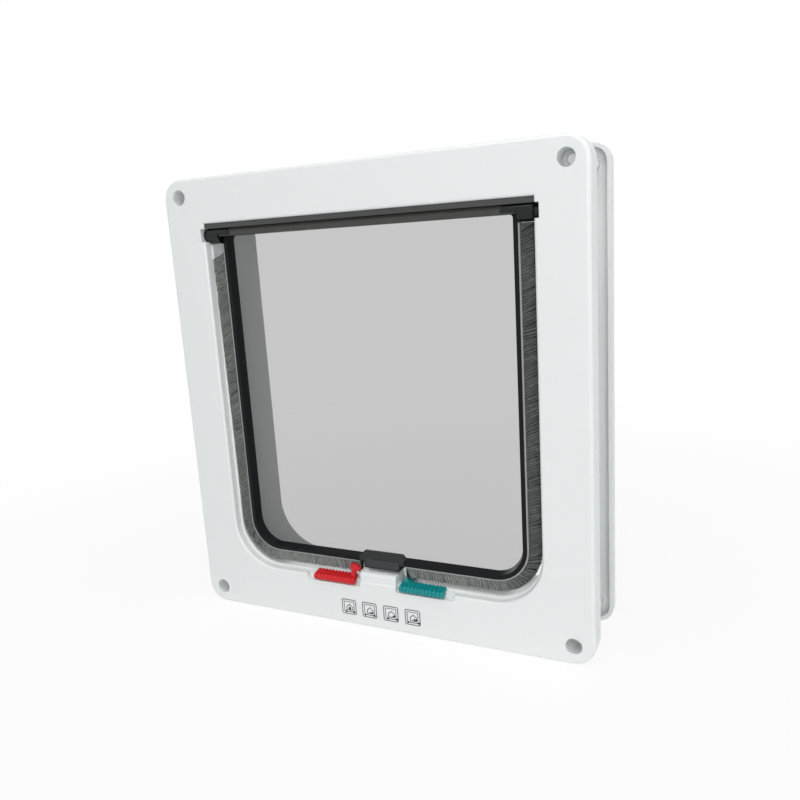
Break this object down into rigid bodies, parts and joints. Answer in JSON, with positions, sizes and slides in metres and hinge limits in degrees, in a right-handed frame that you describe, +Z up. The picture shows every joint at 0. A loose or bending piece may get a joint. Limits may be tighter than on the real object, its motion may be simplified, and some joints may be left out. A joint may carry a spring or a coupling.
{
  "type": "cat flap",
  "caption": "White framed cat flap for a door, with a smoked swinging flap, a brush round its edge, a magnetic catch and sliding locks in the sill.",
  "frame": {"origin": "middle of the overall depth and width, at the bottom edges of both frames", "axes": "+X to the right seen from the front, +Y from the front face towards the rear frame, +Z up"},
  "size_m": [0.235, 0.0568, 0.25],
  "materials": {
    "white_plastic": "glossy moulded white",
    "dark_plastic": "satin dark grey",
    "black_plastic": "satin black",
    "smoked_pane": "clear smoked plastic",
    "brush_backing": "woven tape",
    "brush_bristles": "dense grey bristles",
    "magnet": "sintered magnet",
    "seal": "soft grey strip",
    "red_plastic": "glossy red",
    "teal_plastic": "glossy teal"
  },
  "bodies": {
    "frame": {"front_frame": "white_plastic", "sill_magnet": "magnet", "sill_magnet_cover": "white_plastic", "top_seal": "seal"},
    "flap": {"flap_frame": "dark_plastic", "flap_window": "smoked_pane", "hinge_cap_left": "black_plastic", "hinge_cap_right": "black_plastic", "brush_tape_left": "brush_backing", "brush_tape_right": "brush_backing", "brush_pile_left": "brush_bristles", "brush_pile_right": "brush_bristles", "catch_block": "black_plastic", "catch_plate": "black_plastic", "flap_magnet": "magnet"},
    "rear": {"rear_frame": "white_plastic"},
    "red_slider": {"red_lock": "red_plastic", "red_lock_keeper": "white_plastic"},
    "teal_slider": {"teal_lock": "teal_plastic", "teal_lock_keeper": "white_plastic"}
  },
  "joints": [
    {"name": "flap_swing", "type": "hinge", "parent": "frame", "child": "flap", "pos_m": [0, -0.0211, 0.2189], "axis": [1, 0, 0], "range_deg": [-85, 85]},
    {"name": "red_lock_slide", "type": "slide", "parent": "frame", "child": "red_slider", "axis": [1, 0, 0], "range_m": [-0.0042, 0.0033]},
    {"name": "teal_lock_slide", "type": "slide", "parent": "frame", "child": "teal_slider", "axis": [1, 0, 0], "range_m": [-0.0023, 0.0052]},
    {"name": "rear_frame_slide", "type": "slide", "parent": "frame", "child": "rear", "axis": [0, 1, 0], "range_m": [-0.011, 0.006]}
  ]
}
